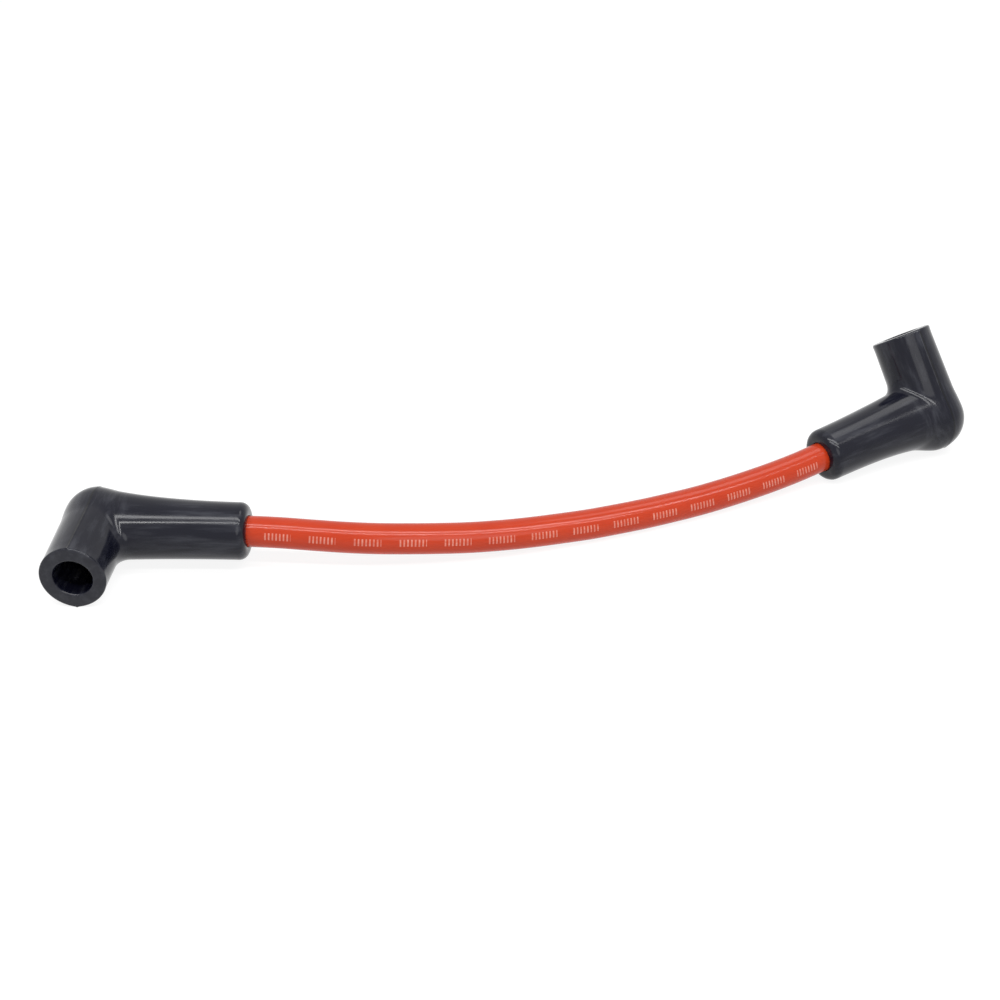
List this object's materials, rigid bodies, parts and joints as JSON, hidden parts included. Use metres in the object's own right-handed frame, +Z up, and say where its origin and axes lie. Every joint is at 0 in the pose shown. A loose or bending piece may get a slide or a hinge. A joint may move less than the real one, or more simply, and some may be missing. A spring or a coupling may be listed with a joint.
{
  "type": "spark plug wire",
  "caption": "Short silicone ignition lead with a right-angle rubber boot and push-on terminal at each end, lying on a table.",
  "frame": {"origin": "on the table, under the middle of the box round the two boots", "axes": "+X the long way, along the left boot's leg towards the right boot; the left boot's mouth faces -Y; +Z up from the table"},
  "size_m": [0.2394, 0.1108, 0.0348],
  "materials": {
    "boot_rubber": "moulded black rubber, half gloss",
    "terminal_plate": "plated folded sheet",
    "spring_wire": "bright drawn wire",
    "lead_silicone": "smooth extruded orange-red silicone",
    "conductor_core": "carbon-filled latex over a fibre core"
  },
  "bodies": {
    "root": {"boot_left": "boot_rubber", "boot_right": "boot_rubber", "terminal_left": "terminal_plate", "terminal_right": "terminal_plate", "snap_spring_left": "spring_wire", "snap_spring_right": "spring_wire", "lead_jacket": "lead_silicone", "lead_conductor": "conductor_core"}
  },
  "joints": []
}
